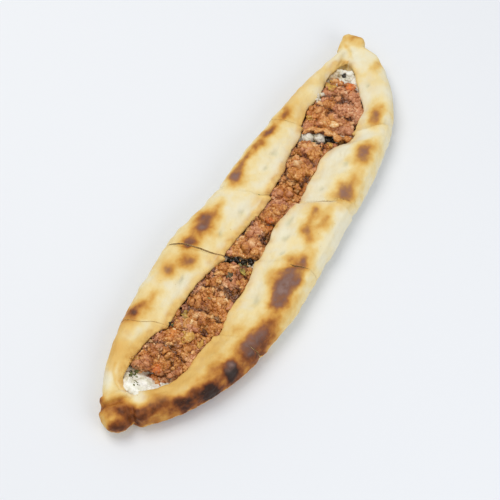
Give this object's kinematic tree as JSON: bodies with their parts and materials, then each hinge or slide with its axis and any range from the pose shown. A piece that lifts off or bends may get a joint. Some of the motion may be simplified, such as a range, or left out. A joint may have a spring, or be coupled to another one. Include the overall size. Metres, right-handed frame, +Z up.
{
  "type": "turkish pide",
  "caption": "Long boat-shaped flatbread with rolled-in walls, white cheese and minced meat, cut crosswise into slices that keep the loaf's shape.",
  "frame": {"origin": "middle of the loaf's footprint, on the surface it rests on", "axes": "+X along the loaf from its thick twisted tip to the other tip, +Y across it towards the straighter side, +Z up"},
  "size_m": [0.4012, 0.1152, 0.0258],
  "materials": {
    "dough": "baked dough, pale with browned and charred spots",
    "cheese": "soft white cheese with herb specks",
    "meat": "cooked minced meat, slightly oily",
    "tomato": "cooked tomato, moist",
    "green_pepper": "cooked green pepper, moist",
    "onion": "cooked onion, golden and oily",
    "olive": "dark cooked vegetable, moist",
    "herb": "chopped herb"
  },
  "bodies": {
    "root": {"dough_1": "dough", "cheese_1": "cheese", "meat_1": "meat", "dough_2": "dough", "cheese_2": "cheese", "meat_2": "meat", "dough_3": "dough", "cheese_3": "cheese", "meat_3": "meat", "dough_4": "dough", "cheese_4": "cheese", "meat_4": "meat", "dough_5": "dough", "cheese_5": "cheese", "meat_5": "meat", "tomato_far": "tomato", "pepper_far": "green_pepper", "olive_cut": "olive", "tomato_mid": "tomato", "pepper_mid": "green_pepper", "herb_mid": "herb", "tomato_heel": "tomato", "onion_heel": "onion", "pepper_heel": "green_pepper", "tomato_near": "tomato"}
  },
  "joints": []
}
